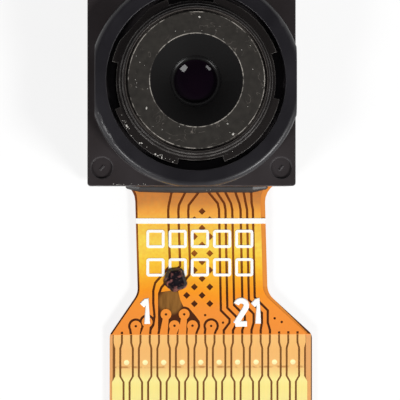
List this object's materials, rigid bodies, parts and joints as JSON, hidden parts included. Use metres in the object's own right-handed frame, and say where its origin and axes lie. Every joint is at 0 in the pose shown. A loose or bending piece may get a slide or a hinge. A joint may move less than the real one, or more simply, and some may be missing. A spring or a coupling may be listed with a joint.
{
  "type": "camera module",
  "caption": "Small fixed-focus camera module: square black lens holder with a screwed-in lens barrel, and a flexible circuit tail that ends in gold contact fingers.",
  "frame": {"origin": "on the optical axis, on the underside of the base plate", "axes": "+Z out of the lens, the tail and its contact fingers toward -Y, the first finger toward -X"},
  "size_m": [0.0072, 0.0141, 0.0039],
  "materials": {
    "holder_plastic": "moulded black, fine satin grain",
    "barrel_plastic": "moulded black, matt face and dark bowl",
    "coated_lens": "coated, violet-black reflection",
    "clear_lens": "clear moulded lens",
    "black_film": "dead black film",
    "filter_glass": "blue-green filter glass",
    "silicon": "polished chip",
    "gold": "gold plated, satin",
    "capacitor_ceramic": "fired ceramic, tinned ends",
    "black_glue": "cured black glue",
    "amber_film": "translucent amber polyimide",
    "copper": "etched copper",
    "white_ink": "white printing ink",
    "dark_resin": "shiny violet-black resin",
    "base_film": "brown polyimide film",
    "adhesive": "cured adhesive film",
    "stainless_steel": "rolled stainless sheet"
  },
  "bodies": {
    "root": {"lens_holder": "holder_plastic", "lens_barrel": "barrel_plastic", "front_lens": "coated_lens", "aperture_stop": "black_film", "second_lens": "clear_lens", "front_spacer": "black_film", "third_lens": "clear_lens", "rear_spacer": "black_film", "fourth_lens": "clear_lens", "lens_retainer": "black_film", "ir_filter": "filter_glass", "image_sensor": "silicon", "bond_wires": "gold", "chip_capacitors": "capacitor_ceramic", "holder_glue": "black_glue", "glue_bead": "black_glue", "coverlay": "amber_film", "copper_traces": "copper", "contact_fingers": "gold", "silkscreen_line": "white_ink", "resin_drop": "dark_resin", "flex_base": "base_film", "bottom_coverlay": "amber_film", "base_adhesive": "adhesive", "base_plate": "stainless_steel", "finger_adhesive": "adhesive", "finger_stiffener": "base_film"}
  },
  "joints": []
}
